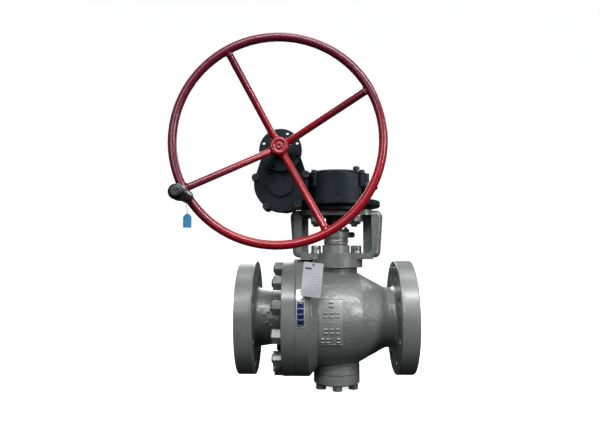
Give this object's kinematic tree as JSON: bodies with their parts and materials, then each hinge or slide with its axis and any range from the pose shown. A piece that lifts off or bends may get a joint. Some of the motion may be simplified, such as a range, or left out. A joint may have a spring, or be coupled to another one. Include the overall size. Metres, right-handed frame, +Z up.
{
  "type": "trunnion ball valve",
  "caption": "Flanged quarter-turn valve with a side-entry trunnion ball, yoke, quadrant worm gearbox with spur head, and spoked handwheel with a spinner knob.",
  "frame": {"origin": "centre of the ball, on the flow bore's axis", "axes": "+X along the flow bore towards the body's own flange, +Z up the stem, -Y towards the handwheel"},
  "size_m": [0.543, 0.513, 0.7783],
  "materials": {
    "valve_paint": "grey paint over cast steel, satin",
    "plated_steel": "dull zinc plating",
    "polished_steel": "polished plating",
    "machined_steel": "turned, bright",
    "bronze": "machined bronze",
    "seat_polymer": "smooth",
    "graphite": "pressed graphite",
    "seal_rubber": "matte",
    "gearbox_paint": "black paint over cast iron, satin",
    "wheel_paint": "dark red enamel, glossy",
    "knob_plastic": "satin black",
    "tag_card": "coated card",
    "tag_blue": "matte",
    "tie_plastic": "smooth"
  },
  "bodies": {
    "valve_body": {"body": "valve_paint", "end_closure": "valve_paint", "body_gasket": "graphite", "body_studs": "plated_steel", "body_nuts": "plated_steel", "o_rings": "seal_rubber", "seat_rings": "machined_steel", "seat_inserts": "seat_polymer", "seat_o_rings": "seal_rubber", "seat_springs": "machined_steel", "bonnet": "valve_paint", "stem_bush": "bronze", "gland_packing": "graphite", "gland_follower": "machined_steel", "gland_studs": "plated_steel", "gland_nuts": "plated_steel", "packing_fitting": "plated_steel", "lower_trunnion": "machined_steel", "trunnion_washer": "seat_polymer", "bottom_gasket": "graphite", "bottom_cover": "valve_paint", "bottom_bolts": "plated_steel", "yoke": "valve_paint", "yoke_screws": "plated_steel", "gearbox_studs": "plated_steel", "gearbox_nuts": "plated_steel", "gear_housing": "gearbox_paint", "gear_cover": "gearbox_paint", "cover_screws": "plated_steel", "vent_plug": "plated_steel", "stop_screws": "plated_steel", "shaft_bearings": "machined_steel", "rear_cap": "gearbox_paint", "gear_head": "gearbox_paint", "gear_head_cover": "gearbox_paint", "head_screws": "plated_steel", "tunnel_screws": "plated_steel", "name_plate": "plated_steel", "tag_wire": "plated_steel", "white_tag": "tag_card"},
    "quarter_turn": {"ball": "polished_steel", "stem": "machined_steel", "thrust_washer": "seat_polymer", "trunnion_bush": "bronze", "drive_sleeve": "gearbox_paint", "drive_keys": "plated_steel", "worm_wheel": "bronze", "indicator": "gearbox_paint"},
    "worm_shaft": {"worm": "machined_steel", "spur_gear": "machined_steel", "spur_key": "plated_steel"},
    "hand_wheel": {"handwheel": "wheel_paint", "hub_pin": "plated_steel", "pinion_shaft": "machined_steel", "knob_pin": "plated_steel", "tag_tie": "tie_plastic", "blue_tag": "tag_blue"},
    "knob": {"knob": "knob_plastic"}
  },
  "joints": [
    {"name": "stem_turn", "type": "hinge", "parent": "valve_body", "child": "quarter_turn", "pos_m": [0, 0, 0], "axis": [0, 0, 1], "range_deg": [-90, 0]},
    {"name": "worm_spin", "type": "hinge", "parent": "valve_body", "child": "worm_shaft", "pos_m": [-0.129, 0, 0.3115], "axis": [0, 1, 0], "range_deg": [-3780, 0]},
    {"name": "wheel_spin", "type": "hinge", "parent": "valve_body", "child": "hand_wheel", "pos_m": [-0.129, 0, 0.385], "axis": [0, 1, 0], "range_deg": [0, 7115.3]},
    {"name": "knob_spin", "type": "hinge", "parent": "hand_wheel", "child": "knob", "pos_m": [-0.30887, -0.3265, 0.26595], "axis": [0, 1, 0], "continuous": true}
  ],
  "couplings": [
    {"joint": "worm_spin", "follows": "stem_turn", "ratio": 42},
    {"joint": "wheel_spin", "follows": "stem_turn", "ratio": -79.059}
  ]
}
